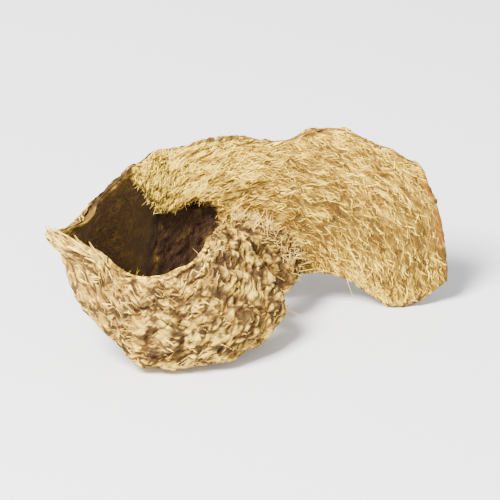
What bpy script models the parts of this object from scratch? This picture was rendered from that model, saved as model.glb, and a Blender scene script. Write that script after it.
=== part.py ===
"""A dried slice of ginger root, curled like a 6 as it dried.

The root was split lengthwise, so the slice has a flat cut face on one side and domed bark on
the other. A broad flap stands at the back with its cut face to the front (-Y). Its left end
curls forwards and round, bark outwards, until its tip meets the flap's own cut face.

Frame: metres, +Z up, origin under the middle of the bounding box, on the surface it rests on.
The slice is one solid. It is described by its lower edge, its upper edge, and a D section.
"""

import bmesh
import bpy
import numpy as np

MM = 0.001

# Overall sizes of the curled slice, before its surface relief.
LENGTH = 68.5 * MM
DEPTH = 33.0 * MM
HEIGHT = 30.0 * MM

# The D section: bark dome over a flat cut face. Powers below 1 blunt its edges and flatten it.
FLAP_THICKNESS = 5.0 * MM
CURL_THICKNESS = 4.4 * MM
EDGE_THICKNESS = 1.5 * MM
EDGE_BLUNTNESS = 0.85
DOME_FLATNESS = 0.6

# The free end thins to this share of the thickness.
END_ROUNDING = 3.0 * MM
END_SHARE = 0.3

# The thin wall of the hollow: the flesh has shrunk back from the cut face inside the curl, and
# the bark round its left end thins by this share towards the rim.
HOLLOW_RECESS = 1.9 * MM
LIP_WIDTH = 1.6 * MM
RIM_THINNING = 0.72

# The torn tip where the bark stands out at the left end of the curl.
TORN_TIP_REACH = 6.2 * MM
TORN_TIP_LENGTH = 4.5 * MM
TORN_TIP_WAY = (-0.97, -0.2, 0.15)

# The free end bulges past a straight line between its two corners.
FREE_END_BULGE = 3.0 * MM
FREE_END_REACH = 10.0 * MM

# The crease between the lobe and the wall that closes the curl.
CREASE_DEPTH = 2.4 * MM
CREASE_WIDTH = 4.0 * MM

# The flesh that joins the tip of the curl to the flap.
GRAFT_RADIUS = 1.2 * MM

# Relief of the shrunken surface.
BARK_RELIEF = 0.7 * MM
CUT_RELIEF = 0.35 * MM
EDGE_RELIEF = 0.8 * MM
RELIEF_SIZE = 7.0 * MM
RELIEF_SEED = 11
RELIEF_CELLS = 16

STATIONS_ALONG = 92
POINTS_AROUND = 28

# Stations from the flap's free end, round the curl, to its tip. Each row holds the lower edge
# and the upper edge as (x, y, z) shares of the length, depth and height. x runs from -0.5 at
# the left to 0.5 at the right, y from 0 at the front to 1 at the back.
EDGES = (
    ((0.466, 0.800, 0.110), (0.430, 0.940, 0.800)),  # the flap's free end
    ((0.365, 0.745, -0.004), (0.325, 0.955, 0.890)),  # its foot
    ((0.250, 0.760, 0.160), (0.215, 0.970, 1.000)),  # the hump on its upper edge
    ((0.120, 0.785, 0.190), (0.075, 0.945, 0.930)),
    ((-0.040, 0.820, -0.025), (-0.050, 0.900, 0.950)),  # the back foot
    ((-0.180, 0.710, 0.040), (-0.160, 0.820, 0.945)),
    ((-0.275, 0.560, 0.190), (-0.230, 0.725, 0.940)),
    ((-0.345, 0.465, 0.345), (-0.290, 0.600, 0.890)),
    ((-0.385, 0.360, 0.430), (-0.340, 0.460, 0.840)),
    ((-0.398, 0.250, 0.460), (-0.365, 0.320, 0.770)),  # the left end of the curl
    ((-0.380, 0.140, 0.350), (-0.362, 0.195, 0.715)),
    ((-0.318, 0.060, 0.170), (-0.318, 0.105, 0.620)),
    ((-0.245, 0.020, 0.030), (-0.250, 0.055, 0.555)),
    ((-0.135, 0.020, 0.000), (-0.170, 0.070, 0.560)),  # the front foot
    ((-0.030, 0.060, 0.010), (-0.112, 0.155, 0.595)),
    ((0.055, 0.200, 0.095), (-0.085, 0.290, 0.635)),
    ((0.085, 0.310, 0.125), (-0.075, 0.380, 0.640)),  # the lobe beside the tip
    ((0.062, 0.450, 0.165), (-0.062, 0.500, 0.620)),  # the notch behind it
    ((0.115, 0.630, 0.185), (-0.040, 0.660, 0.550)),
    ((0.155, 0.840, 0.235), (-0.010, 0.890, 0.430)),  # the tip, inside the flap
)

# The height of the lip, as shares of the width above the lower edge, at shares of the length
# from the free end to the tip. Below 0 there is no recess, and above 1 it takes the whole face.
LIP_STOPS = (0.00, 0.265, 0.29, 0.32, 0.36, 0.39, 0.42, 0.445, 0.47, 1.00)
LIP_HEIGHTS = (-0.30, -0.10, 0.50, 0.66, 0.60, 0.62, 0.76, 0.90, 1.15, 1.30)

# Other places along the slice, in the same shares.
TORN_TIP = 0.575
CURL_WALL = (0.30, 0.50)
RECESS_END = (0.80, 0.88)
THIN_RIM_START = (0.32, 0.40)
THIN_RIM_END = (0.50, 0.56)
CREASE = 0.893

# Across the slice, from -1 at the lower edge to 1 at the upper edge.
THIN_RIM_ACROSS = (-0.4, 0.8)
CREASE_ACROSS = (-0.2, 0.5)
FREE_END_BULGE_AT = -0.45
RECESS_SIDE = 0.25
TORN_TIP_ACROSS = (0.1, 1.0)


def smooth(at, stops, values):
    """A cubic through the values at the stops, with its neighbours' slope at each stop."""
    stops = np.asarray(stops, float)
    values = np.asarray(values, float)
    slopes = np.gradient(values, stops, axis=0)
    k = np.clip(np.searchsorted(stops, at, side="right") - 1, 0, len(stops) - 2)
    gap = stops[k + 1] - stops[k]
    f = (at - stops[k]) / gap
    if values.ndim > 1:
        f = f[:, None]
        gap = gap[:, None]
    near = values[k] * (1 + 2 * f) * (1 - f) ** 2 + values[k + 1] * f * f * (3 - 2 * f)
    return near + gap * f * (1 - f) * (slopes[k] * (1 - f) - slopes[k + 1] * f)


def ramp(value, low, high):
    """0 below low, 1 above high, and a smooth step between."""
    f = np.clip((value - low) / (high - low), 0.0, 1.0)
    return f * f * (3 - 2 * f)


def waves(points, size, seed):
    """Smooth noise from -1 to 1 in space, whose bumps are about size across."""
    lattice = np.random.default_rng(seed).uniform(-1.0, 1.0, (RELIEF_CELLS,) * 3)
    cell = np.floor(points / size).astype(int)
    f = points / size - cell
    f = f * f * (3 - 2 * f)
    total = np.zeros(points.shape[:-1])
    for corner in np.ndindex(2, 2, 2):
        share = np.prod(np.where(corner, f, 1 - f), axis=-1)
        i, j, k = np.moveaxis((cell + corner) % RELIEF_CELLS, -1, 0)
        total += share * lattice[i, j, k]
    return total


def edge_curves(along):
    """The lower and the upper edge of the slice at each share along it."""
    rows = (np.array(EDGES) - (0.0, 0.5, 0.0)) * (LENGTH, DEPTH, HEIGHT)
    middle = rows.mean(axis=1)
    travelled = np.cumsum(np.linalg.norm(np.diff(middle, axis=0), axis=1))
    stops = np.concatenate([[0.0], travelled]) / travelled[-1]
    return smooth(along, stops, rows[:, 0]), smooth(along, stops, rows[:, 1])


def slice_points():
    """The slice as rings of points, from its free end to its tip.

    A ring starts at the lower edge, climbs the bark to the upper edge, and comes back down the
    cut face. across runs from -1 at the lower edge to 1 at the upper edge.
    """
    along = np.linspace(0.0, 1.0, STATIONS_ALONG)
    turn = np.linspace(0.0, 2 * np.pi, POINTS_AROUND, endpoint=False)
    lower, upper = edge_curves(along)
    middle = (lower + upper) / 2
    half = (upper - lower) / 2
    forward = np.gradient(middle, axis=0)
    outward = np.cross(forward, half)
    outward /= np.linalg.norm(outward, axis=1)[:, None]
    travelled = np.concatenate([[0.0], np.cumsum(np.linalg.norm(np.diff(middle, axis=0), axis=1))])

    across = -np.sign(np.cos(turn)) * np.abs(np.cos(turn)) ** EDGE_BLUNTNESS
    on_bark = np.sin(turn) > 0
    dome = np.abs(np.sin(turn)) ** DOME_FLATNESS

    # The thickness: thin at the free end, full from there on, and thin at the rim of the curl.
    full = FLAP_THICKNESS + (CURL_THICKNESS - FLAP_THICKNESS) * ramp(along, *CURL_WALL)
    to_end = np.clip(travelled / END_ROUNDING, 0.0, 1.0)
    rounding = END_SHARE + (1 - END_SHARE) * np.sqrt(1 - (1 - to_end) ** 2)
    at_rim = ramp(along, *THIN_RIM_START) * (1 - ramp(along, *THIN_RIM_END))
    thinning = RIM_THINNING * at_rim[:, None] * ramp(across, *THIN_RIM_ACROSS)
    dome_height = (full - EDGE_THICKNESS)[:, None] * (1 - thinning)
    bark = (EDGE_THICKNESS / 2 + dome_height * dome) * np.sqrt(dome)
    cut = -EDGE_THICKNESS / 2 * dome
    depth = np.where(on_bark, bark, cut) * rounding[:, None]

    # Inside the curl the flesh steps back behind a ragged lip.
    width = 2 * np.linalg.norm(half, axis=1)[:, None]
    below_lip = (smooth(along, LIP_STOPS, LIP_HEIGHTS)[:, None] - (1 + across) / 2) * width
    inside = ramp(below_lip, 0.0, LIP_WIDTH) * ramp(1 - np.abs(across), 0.0, RECESS_SIDE)
    recess = inside * (1 - ramp(along, *RECESS_END))[:, None]
    depth += np.where(on_bark, 0.0, HOLLOW_RECESS * recess * (1 - thinning))

    # The crease bends both faces inwards beside the lobe.
    at_crease = np.exp(-(((along - CREASE) * travelled[-1] / (CREASE_WIDTH / 2)) ** 2))
    depth -= CREASE_DEPTH * at_crease[:, None] * (1 - ramp(across, *CREASE_ACROSS))

    points = middle[:, None] + half[:, None] * across[:, None] + outward[:, None] * depth[..., None]

    # The torn tip stands out from the upper edge at the left end.
    near = np.exp(-(((along - TORN_TIP) * travelled[-1] / (TORN_TIP_LENGTH / 2)) ** 2))
    torn = near[:, None] * ramp(across, *TORN_TIP_ACROSS)
    points += TORN_TIP_REACH * torn[..., None] * np.array(TORN_TIP_WAY)

    # The free end bulges, most of all near its lower corner.
    unit_forward = forward / np.linalg.norm(forward, axis=1)[:, None]
    to_bulge = (across - FREE_END_BULGE_AT) / (1 - FREE_END_BULGE_AT)
    bulge = (1 - ramp(travelled, 0.0, FREE_END_REACH))[:, None] * (1 - to_bulge**2)
    points -= unit_forward[:, None] * (FREE_END_BULGE * bulge)[..., None]

    # Relief: bumps on the bark, gentler ones on the cut face, and an uneven outline.
    bumps = waves(points, RELIEF_SIZE, RELIEF_SEED)
    relief = np.where(on_bark, BARK_RELIEF, CUT_RELIEF) * dome
    points += outward[:, None] * (relief * bumps)[..., None]
    outline = waves(points, RELIEF_SIZE / 2, RELIEF_SEED + 1) * np.abs(across) ** 3
    unit_half = half / np.linalg.norm(half, axis=1)[:, None]
    points += unit_half[:, None] * (EDGE_RELIEF * outline)[..., None]
    return points


def ring_faces(rings, around):
    """Quads between neighbouring rings, and each end zipped shut from bark to cut face."""
    faces = []
    for ring in range(rings - 1):
        for k in range(around):
            a = ring * around + k
            b = ring * around + (k + 1) % around
            faces.append((a, b, b + around, a + around))
    for start, flip in ((0, True), ((rings - 1) * around, False)):
        for k in range(around // 2):
            corners = [k, k + 1, around - k - 1, (around - k) % around]
            loop = [start + c for c in dict.fromkeys(corners)]
            faces.append(tuple(loop[::-1] if flip else loop))
    return faces


def solid(name, points, faces, material):
    """A closed mesh object whose faces point outwards."""
    mesh = bpy.data.meshes.new(name)
    mesh.from_pydata(points.reshape(-1, 3).tolist(), [], faces)
    work = bmesh.new()
    work.from_mesh(mesh)
    bmesh.ops.triangulate(work, faces=work.faces)
    bmesh.ops.recalc_face_normals(work, faces=work.faces)
    work.to_mesh(mesh)
    work.free()
    mesh.materials.append(material)
    mesh.shade_smooth()
    item = bpy.data.objects.new(name, mesh)
    bpy.context.scene.collection.objects.link(item)
    return item


def graft(target, centre):
    """Joins the tip of the curl to the flap, with a core inside both of them."""
    mesh = bpy.data.meshes.new("graft_core")
    work = bmesh.new()
    bmesh.ops.create_icosphere(work, subdivisions=1, radius=GRAFT_RADIUS)
    work.to_mesh(mesh)
    work.free()
    core = bpy.data.objects.new("graft_core", mesh)
    core.location = centre
    core.hide_render = True
    core.display_type = "WIRE"
    bpy.context.scene.collection.objects.link(core)
    union = target.modifiers.new("graft", "BOOLEAN")
    union.operation = "UNION"
    union.solver = "EXACT"
    union.use_self = True
    union.object = core


def dried_ginger():
    material = bpy.data.materials.new("dried_ginger")
    material.use_nodes = True
    shader = material.node_tree.nodes["Principled BSDF"]
    shader.inputs["Base Color"].default_value = (0.56, 0.40, 0.20, 1.0)
    shader.inputs["Roughness"].default_value = 0.85
    shader.inputs["Metallic"].default_value = 0.0
    return material


def main():
    for item in list(bpy.data.objects):
        bpy.data.objects.remove(item, do_unlink=True)
    points = slice_points()
    low = points.min(axis=(0, 1))
    high = points.max(axis=(0, 1))
    points -= ((low[0] + high[0]) / 2, (low[1] + high[1]) / 2, low[2])
    item = solid("ginger_slice", points, ring_faces(*points.shape[:2]), dried_ginger())
    graft(item, points[-2].mean(axis=0))


main()
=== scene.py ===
# %% [markdown]
# # A dried slice of ginger root
#
# A ginger root was split lengthwise and dried. The slice curled as it shrank: a broad flap
# stands at the back, and its left end turns forwards and round, bark outwards, like a 6.
# This lesson dresses the plain solid of the slice with what makes it look like ginger:
# stringy flesh, a wrinkled bark skin, strings on the cut face, threads of bark, torn fibres
# and fine rootlets.
#
# Everything is worked out with numpy as whole arrays, in metres.

import bpy
import numpy as np
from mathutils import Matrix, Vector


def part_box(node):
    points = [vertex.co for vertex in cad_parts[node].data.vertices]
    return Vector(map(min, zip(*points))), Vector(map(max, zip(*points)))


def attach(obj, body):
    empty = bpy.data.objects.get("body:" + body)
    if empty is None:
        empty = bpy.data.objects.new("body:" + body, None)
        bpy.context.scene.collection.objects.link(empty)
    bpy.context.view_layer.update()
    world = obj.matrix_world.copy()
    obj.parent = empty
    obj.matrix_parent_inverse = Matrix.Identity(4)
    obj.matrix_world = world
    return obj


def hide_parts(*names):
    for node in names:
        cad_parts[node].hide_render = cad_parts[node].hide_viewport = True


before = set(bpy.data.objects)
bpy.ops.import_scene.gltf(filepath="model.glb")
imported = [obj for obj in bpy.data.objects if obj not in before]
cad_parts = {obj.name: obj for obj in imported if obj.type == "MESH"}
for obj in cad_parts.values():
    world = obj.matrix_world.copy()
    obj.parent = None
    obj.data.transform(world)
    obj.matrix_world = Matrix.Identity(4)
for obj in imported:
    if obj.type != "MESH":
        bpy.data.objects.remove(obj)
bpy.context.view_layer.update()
slice_low, slice_high = (np.array(corner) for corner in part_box("ginger_slice"))
MM = 0.001
print("the solid slice measures", ((slice_high - slice_low) / MM).round(1), "mm")

# %% [markdown]
# ## Camera, floor and light
#
# The slice is seen from the front, from 25 degrees above the table. A long lens from some way
# off keeps the front and the back of it at nearly one scale. One large soft lamp stands high
# at the front left. A weaker one on the right opens the shadows, and a pale world fills the rest.

# %% Camera
VIEW_ELEVATION = np.radians(25.0)
LENS = 420.0
SENSOR = 36.0
FRAME_SHARE = 0.80

middle_of_slice = (slice_low + slice_high) / 2
distance = (slice_high[0] - slice_low[0]) / FRAME_SHARE * LENS / SENSOR
camera_data = bpy.data.cameras.new("camera")
camera_data.lens = LENS
camera_data.sensor_width = SENSOR
camera = bpy.data.objects.new("camera", camera_data)
camera.location = middle_of_slice + distance * np.array(
    [0.0, -np.cos(VIEW_ELEVATION), np.sin(VIEW_ELEVATION)]
)
camera.rotation_euler = (np.pi / 2 - VIEW_ELEVATION, 0.0, 0.0)
bpy.context.scene.collection.objects.link(camera)
bpy.context.scene.camera = camera
print("the camera stands", round(distance, 3), "m away")

# %% Floor and lamps
def plain_material(name, color, roughness):
    """A material of one colour, for the floor only."""
    material = bpy.data.materials.new(name)
    material.use_nodes = True
    shader = material.node_tree.nodes["Principled BSDF"]
    shader.inputs["Base Color"].default_value = (*color, 1.0)
    shader.inputs["Roughness"].default_value = roughness
    return material


def soft_lamp(name, offset, size, watts, color):
    """A square lamp at an offset from the slice, turned to face it."""
    data = bpy.data.lights.new(name, "AREA")
    data.size = size
    data.energy = watts
    data.color = color
    lamp = bpy.data.objects.new(name, data)
    lamp.location = middle_of_slice + np.array(offset)
    back = np.array(offset) / np.linalg.norm(offset)
    turn = np.arctan2(back[0], -back[1])
    lamp.rotation_euler = (np.arccos(back[2]), 0.0, turn)
    bpy.context.scene.collection.objects.link(lamp)
    return lamp


FLOOR_HALF = 2.0
floor_mesh = bpy.data.meshes.new("floor")
floor_corners = np.array([(-1, -1, 0), (1, -1, 0), (1, 1, 0), (-1, 1, 0)]) * FLOOR_HALF
floor_mesh.from_pydata(floor_corners.tolist(), [], [(0, 1, 2, 3)])
floor_mesh.materials.append(plain_material("pale_table", (0.80, 0.80, 0.81), 0.7))
floor = bpy.data.objects.new("floor", floor_mesh)
bpy.context.scene.collection.objects.link(floor)

soft_lamp("key_lamp", (-0.34, -0.36, 0.62), 0.30, 34.0, (1.0, 0.98, 0.95))
soft_lamp("fill_lamp", (0.60, -0.40, 0.40), 0.60, 2.5, (0.96, 0.98, 1.0))
world = bpy.data.worlds.new("pale_room")
world.use_nodes = True
world.node_tree.nodes["Background"].inputs["Color"].default_value = (0.93, 0.94, 0.96, 1.0)
world.node_tree.nodes["Background"].inputs["Strength"].default_value = 0.95
bpy.context.scene.world = world

# %% [markdown]
# ## The shape of the slice
#
# The slice is a long strip with two edges. Each row below is a place along the strip, from the
# flap's free end round the curl to its tip, and gives the lower and the upper edge as shares of
# the length, depth and height of the slice. A smooth cubic joins the rows. Drawing the strip by
# its edges, rather than sculpting it, keeps the outline exact and gives every point two natural
# parameters: how far along the strip it is, and how far round the section.

# %% The edges of the strip
LENGTH = 68.5 * MM
DEPTH = 33.0 * MM
HEIGHT = 30.0 * MM
EDGES = (
    ((0.466, 0.800, 0.110), (0.430, 0.940, 0.800)),  # the flap's free end
    ((0.365, 0.745, -0.004), (0.325, 0.955, 0.890)),  # its foot
    ((0.250, 0.760, 0.160), (0.215, 0.970, 1.000)),  # the hump on its upper edge
    ((0.120, 0.785, 0.190), (0.075, 0.945, 0.930)),
    ((-0.040, 0.820, -0.025), (-0.050, 0.900, 0.950)),  # the back foot
    ((-0.180, 0.710, 0.040), (-0.160, 0.820, 0.945)),
    ((-0.275, 0.560, 0.190), (-0.230, 0.725, 0.940)),
    ((-0.345, 0.465, 0.345), (-0.290, 0.600, 0.890)),
    ((-0.385, 0.360, 0.430), (-0.340, 0.460, 0.840)),
    ((-0.398, 0.250, 0.460), (-0.365, 0.320, 0.770)),  # the left end of the curl
    ((-0.380, 0.140, 0.350), (-0.362, 0.195, 0.715)),
    ((-0.318, 0.060, 0.170), (-0.318, 0.105, 0.620)),
    ((-0.245, 0.020, 0.030), (-0.250, 0.055, 0.555)),
    ((-0.135, 0.020, 0.000), (-0.170, 0.070, 0.560)),  # the front foot
    ((-0.030, 0.060, 0.010), (-0.112, 0.155, 0.595)),
    ((0.055, 0.200, 0.095), (-0.085, 0.290, 0.635)),
    ((0.085, 0.310, 0.125), (-0.075, 0.380, 0.640)),  # the lobe beside the tip
    ((0.062, 0.450, 0.165), (-0.062, 0.500, 0.620)),  # the notch behind it
    ((0.115, 0.630, 0.185), (-0.040, 0.660, 0.550)),
    ((0.155, 0.840, 0.235), (-0.010, 0.890, 0.430)),  # the tip, inside the flap
)


def smooth(at, stops, values):
    """A cubic through the values at the stops, with its neighbours' slope at each stop."""
    stops = np.asarray(stops, float)
    values = np.asarray(values, float)
    slopes = np.gradient(values, stops, axis=0)
    k = np.clip(np.searchsorted(stops, at, side="right") - 1, 0, len(stops) - 2)
    gap = stops[k + 1] - stops[k]
    f = (at - stops[k]) / gap
    if values.ndim > 1:
        f = f[:, None]
        gap = gap[:, None]
    near = values[k] * (1 + 2 * f) * (1 - f) ** 2 + values[k + 1] * f * f * (3 - 2 * f)
    return near + gap * f * (1 - f) * (slopes[k] * (1 - f) - slopes[k + 1] * f)


def ramp(value, low, high):
    """0 below low, 1 above high, and a smooth step between."""
    f = np.clip((value - low) / (high - low), 0.0, 1.0)
    return f * f * (3 - 2 * f)


STATIONS = 620
along = np.linspace(0.0, 1.0, STATIONS)
edge_rows = (np.array(EDGES) - (0.0, 0.5, 0.0)) * (LENGTH, DEPTH, HEIGHT)
row_gaps = np.linalg.norm(np.diff(edge_rows.mean(axis=1), axis=0), axis=1)
row_stops = np.concatenate([[0.0], np.cumsum(row_gaps)]) / row_gaps.sum()
lower_edge = smooth(along, row_stops, edge_rows[:, 0])
upper_edge = smooth(along, row_stops, edge_rows[:, 1])
middle_line = (lower_edge + upper_edge) / 2
half_width = (upper_edge - lower_edge) / 2
forward = np.gradient(middle_line, axis=0)
steps = np.linalg.norm(np.diff(middle_line, axis=0), axis=1)
travelled = np.concatenate([[0.0], np.cumsum(steps)])
outward = np.cross(forward, half_width)
outward /= np.linalg.norm(outward, axis=1)[:, None]
forward /= np.linalg.norm(forward, axis=1)[:, None]
width = 2 * np.linalg.norm(half_width, axis=1)
print("the strip is", round(travelled[-1] / MM, 1), "mm long and up to", round(width.max() / MM, 1))

# %% [markdown]
# ## Noise from a lattice
#
# Shrunken plant skin is uneven at every scale. Smooth noise comes from a lattice of random
# numbers with a fixed seed: each point blends the eight corners of its cell. Stretching the
# points before the call turns round bumps into fibres.

# %% Noise
LATTICE = np.random.default_rng(5).uniform(-1.0, 1.0, (64, 64, 64)).astype(np.float32)


def waves(points, size, seed, lattice=LATTICE):
    """Smooth noise from -1 to 1: the corner values of each cell, blended by a smooth step."""
    side = len(lattice)
    moved = points / size + seed * np.array([7.31, 3.77, 11.93])
    cell = np.floor(moved).astype(int)
    f = moved - cell
    f = f * f * (3 - 2 * f)
    total = np.zeros(points.shape[:-1])
    for corner in np.ndindex(2, 2, 2):
        share = np.prod(np.where(corner, f, 1 - f), axis=-1)
        i, j, k = np.moveaxis((cell + corner) % side, -1, 0)
        total += share * lattice[i, j, k]
    return total


def solid_waves(points, size, seed):
    """The noise that shaped the solid slice: the same lattice of 16 and the same seeds."""
    lattice = np.random.default_rng(seed).uniform(-1.0, 1.0, (16, 16, 16))
    return waves(points, size, 0, lattice)


# %% [markdown]
# ## The base surface
#
# Across the strip the section is a D: bark domes outwards over a flat cut face. The angle
# `turn` goes round it, 0 at the lower edge, half a turn at the upper edge, bark on the way up
# and cut face on the way down. Three things break the plain D: inside the curl the flesh has
# shrunk back behind a lip, the left end carries a torn tip, and the free end bulges.

# %% Section of the strip
FLAP_THICKNESS = 5.0 * MM
CURL_THICKNESS = 4.4 * MM
EDGE_THICKNESS = 1.5 * MM
EDGE_BLUNTNESS = 0.85
DOME_FLATNESS = 0.6
END_ROUNDING = 3.0 * MM
END_SHARE = 0.3
CURL_WALL = (0.30, 0.50)
HOLLOW_RECESS = 1.9 * MM
RECESS_SIDE = 0.25
RIM_THINNING = 0.72
THIN_RIM_START = (0.32, 0.40)
THIN_RIM_END = (0.50, 0.56)
THIN_RIM_ACROSS = (-0.4, 0.8)
LIP_WIDTH = 1.0 * MM
LIP_STOPS = (0.00, 0.265, 0.29, 0.32, 0.36, 0.39, 0.42, 0.445, 0.47, 1.00)
LIP_HEIGHTS = (-0.30, -0.10, 0.50, 0.66, 0.60, 0.62, 0.76, 0.90, 1.15, 1.30)
RECESS_END = (0.80, 0.88)
TORN_TIP = 0.575
TORN_TIP_REACH = 6.2 * MM
TORN_TIP_LENGTH = 4.5 * MM
TORN_TIP_WAY = (-0.97, -0.2, 0.15)
TORN_TIP_ACROSS = (0.1, 1.0)
FREE_END_BULGE = 3.0 * MM
FREE_END_REACH = 10.0 * MM
FREE_END_BULGE_AT = -0.45
CREASE_DEPTH = 2.4 * MM
CREASE_WIDTH = 4.0 * MM
CREASE = 0.893
CREASE_ACROSS = (-0.2, 0.5)
LIP_RAGS = ((0.9 * MM, 2.2 * MM, 3), (0.35 * MM, 0.8 * MM, 4))  # height, size and seed
RELIEF_SIZE = 7.0 * MM
RELIEF_SEED = 11
BARK_SWELL = 0.7 * MM
CUT_SWELL = 0.35 * MM
EDGE_SWELL = 0.8 * MM


def base_surface(turn):
    """Points of the plain slice at each station and angle, and how deep in the hollow each is.

    A point is the middle line, plus the half width times -cos(turn), plus the outward way times
    the thickness there: a power of sin(turn), thick on the bark and thin on the cut face.
    """
    across = -np.sign(np.cos(turn)) * np.abs(np.cos(turn)) ** EDGE_BLUNTNESS
    on_bark = np.sin(turn) > 0
    dome = np.abs(np.sin(turn)) ** DOME_FLATNESS
    full = FLAP_THICKNESS + (CURL_THICKNESS - FLAP_THICKNESS) * ramp(along, *CURL_WALL)
    to_end = np.clip(travelled / END_ROUNDING, 0.0, 1.0)
    rounding = END_SHARE + (1 - END_SHARE) * np.sqrt(1 - (1 - to_end) ** 2)
    at_rim = ramp(along, *THIN_RIM_START) * (1 - ramp(along, *THIN_RIM_END))
    thinning = RIM_THINNING * at_rim[:, None] * ramp(across, *THIN_RIM_ACROSS)
    dome_height = (full - EDGE_THICKNESS)[:, None] * (1 - thinning)
    bark = (EDGE_THICKNESS / 2 + dome_height * dome) * np.sqrt(dome)
    depth = np.where(on_bark, bark, -EDGE_THICKNESS / 2 * dome) * rounding[:, None]

    below_lip = (smooth(along, LIP_STOPS, LIP_HEIGHTS)[:, None] - (1 + across) / 2) * width[:, None]
    flat = middle_line[:, None] + half_width[:, None] * across[..., None]
    ragged = sum(high * waves(flat, size, seed) for high, size, seed in LIP_RAGS)
    inside = ramp(below_lip + ragged, 0.0, LIP_WIDTH) * ramp(1 - np.abs(across), 0.0, RECESS_SIDE)
    hollow = np.where(on_bark, 0.0, inside * (1 - ramp(along, *RECESS_END))[:, None])
    depth += HOLLOW_RECESS * hollow * (1 - thinning)
    at_crease = np.exp(-(((along - CREASE) * travelled[-1] / (CREASE_WIDTH / 2)) ** 2))
    depth -= CREASE_DEPTH * at_crease[:, None] * (1 - ramp(across, *CREASE_ACROSS))
    points = flat + outward[:, None] * depth[..., None]

    near = np.exp(-(((along - TORN_TIP) * travelled[-1] / (TORN_TIP_LENGTH / 2)) ** 2))
    torn = near[:, None] * ramp(across, *TORN_TIP_ACROSS)
    points += TORN_TIP_REACH * torn[..., None] * np.array(TORN_TIP_WAY)
    to_bulge = (across - FREE_END_BULGE_AT) / (1 - FREE_END_BULGE_AT)
    bulge = (1 - ramp(travelled, 0.0, FREE_END_REACH))[:, None] * (1 - to_bulge**2)
    points -= forward[:, None] * (FREE_END_BULGE * bulge)[..., None]

    swell = np.where(on_bark, BARK_SWELL, CUT_SWELL) * dome
    points += outward[:, None] * (swell * solid_waves(points, RELIEF_SIZE, RELIEF_SEED))[..., None]
    outline = solid_waves(points, RELIEF_SIZE / 2, RELIEF_SEED + 1) * np.abs(across) ** 3
    unit_half = half_width / (width / 2)[:, None]
    points += unit_half[:, None] * (EDGE_SWELL * outline)[..., None]
    return points, hollow


def section_turns(first, second, start=0.0, end=np.pi):
    """Angles for one ring: first points from start to end, second points on to start again."""
    up = np.linspace(0, 1, first, endpoint=False)
    down = np.linspace(0, 1, second, endpoint=False)
    start = np.broadcast_to(start, (STATIONS,))[:, None]
    end = np.broadcast_to(end, (STATIONS,))[:, None]
    rest = start + 2 * np.pi - end
    return np.hstack([start + (end - start) * up, end + rest * down])


PROBE_POINTS = 30

probe, _ = base_surface(section_turns(PROBE_POINTS, PROBE_POINTS))
probe_low, probe_high = probe.min(axis=(0, 1)), probe.max(axis=(0, 1))
TO_FRAME = (slice_low + slice_high - probe_low - probe_high) / 2
TO_FRAME[2] = slice_low[2] - probe_low[2]
print("the plain surface is within", (np.abs(probe_high + TO_FRAME - slice_high) / MM).round(2), "mm")

# %% [markdown]
# ## From rings to a mesh
#
# Neighbouring rings are joined by quads. Each end is zipped shut: every edge of the longer half
# of the end ring gets a triangle to the nearest point of the shorter half, and a second triangle
# fills in where that nearest point moves on by one.

# %% Mesh helpers
def ring_faces(rings, first, second):
    """Quads between rings of first + second points, as an array, and the triangles of both caps."""
    around = first + second
    ring, k = np.meshgrid(np.arange(rings - 1), np.arange(around), indexing="ij")
    a = ring * around + k
    b = ring * around + (k + 1) % around
    quads = np.stack([a, a + around, b + around, b], axis=-1).reshape(-1, 4)
    long_side = np.arange(first + 1)
    short_side = (around - np.round(long_side * second / first).astype(int)) % around
    a, b = long_side[:-1], long_side[1:]
    c, d = short_side[:-1], short_side[1:]
    fans = np.stack([a, b, c], axis=-1)
    fills = np.stack([b, d, c], axis=-1)
    caps = np.concatenate([fans, fills])
    real = (caps[:, 0] != caps[:, 1]) & (caps[:, 1] != caps[:, 2]) & (caps[:, 0] != caps[:, 2])
    caps = caps[real]
    return quads, np.concatenate([caps, caps[:, ::-1] + (rings - 1) * around])


def mesh_piece(name, points, quads, triangles, material, colors=None, grain=None):
    """A mesh object at the origin, with smooth faces, one colour attribute and one UV map.

    It prints the volume inside, which is above 0 when the faces point outwards.
    """
    mesh = bpy.data.meshes.new(name)
    points = np.ascontiguousarray(points.reshape(-1, 3), np.float32)
    corners = np.concatenate([quads.ravel(), triangles.ravel()]).astype(np.int32)
    sizes = np.concatenate([np.full(len(quads), 4), np.full(len(triangles), 3)])
    mesh.vertices.add(len(points))
    mesh.vertices.foreach_set("co", points.ravel())
    mesh.loops.add(len(corners))
    mesh.loops.foreach_set("vertex_index", corners)
    mesh.polygons.add(len(sizes))
    starts = np.concatenate([[0], np.cumsum(sizes)[:-1]]).astype(np.int32)
    mesh.polygons.foreach_set("loop_start", starts)
    mesh.update(calc_edges=True)
    mesh.validate()
    if colors is not None:
        layer = mesh.color_attributes.new("surface", "FLOAT_COLOR", "POINT")
        rgba = np.ones((len(points), 4), np.float32)
        rgba[:, :3] = colors.reshape(-1, 3)
        layer.data.foreach_set("color", rgba.ravel())
    if grain is not None:
        uv = mesh.uv_layers.new(name="grain")
        uv.data.foreach_set("uv", grain.reshape(-1, 2)[corners].astype(np.float32).ravel())
    mesh.materials.append(material)
    mesh.shade_smooth()
    item = bpy.data.objects.new(name, mesh)
    bpy.context.scene.collection.objects.link(item)
    faces = np.concatenate([quads[:, [0, 1, 2]], quads[:, [0, 2, 3]], triangles])
    inside = np.linalg.det(points[faces].astype(float)).sum() / 6
    print(f"{name}: {len(faces)} triangles, {inside / MM**3:.1f} mm3 inside")
    return item


def unit(vectors):
    """Each vector at length one."""
    return vectors / np.maximum(np.linalg.norm(vectors, axis=-1), 1e-12)[..., None]


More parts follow.
